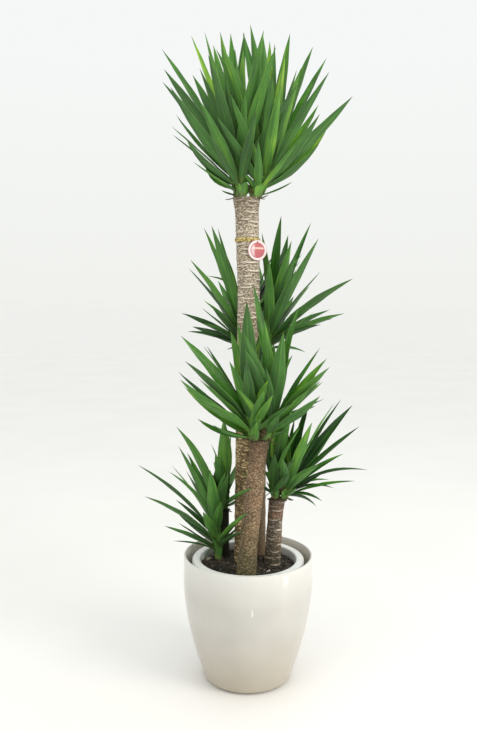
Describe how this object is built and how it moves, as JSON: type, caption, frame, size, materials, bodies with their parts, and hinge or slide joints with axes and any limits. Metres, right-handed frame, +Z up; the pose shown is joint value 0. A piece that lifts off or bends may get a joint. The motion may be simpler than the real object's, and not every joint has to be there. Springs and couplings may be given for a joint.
{
  "type": "potted yucca",
  "caption": "Tall potted yucca: bare sawn canes topped by rosettes of long, narrow, pointed leaves, in soil in a grow pot, inside a round glossy planter.",
  "frame": {"origin": "middle of the planter's foot, on the floor", "axes": "+Z up; the plant's front faces -Y"},
  "size_m": [0.6201, 0.484, 1.769],
  "materials": {
    "planter_gloss": "glossy, moulded",
    "liner_plastic": "satin, moulded",
    "potting_mix": "loose peat and bark, damp",
    "cane_bark": "dry bark with leaf scars",
    "yucca_leaf": "live leaf, satin",
    "raffia": "dry raffia band",
    "tag_card": "printed card"
  },
  "bodies": {
    "root": {"planter": "planter_gloss", "liner": "liner_plastic", "soil": "potting_mix", "cane_tall": "cane_bark", "cane_back": "cane_bark", "cane_front": "cane_bark", "cane_right": "cane_bark", "cane_left": "cane_bark", "shoot_top_left": "yucca_leaf", "shoot_top_right": "yucca_leaf", "shoot_back_left": "yucca_leaf", "shoot_back_right": "yucca_leaf", "shoot_front_left": "yucca_leaf", "shoot_front_right": "yucca_leaf", "shoot_right_inner": "yucca_leaf", "shoot_right_outer": "yucca_leaf", "shoot_left_high": "yucca_leaf", "shoot_left_low": "yucca_leaf", "tie": "raffia", "tag": "tag_card"}
  },
  "joints": []
}
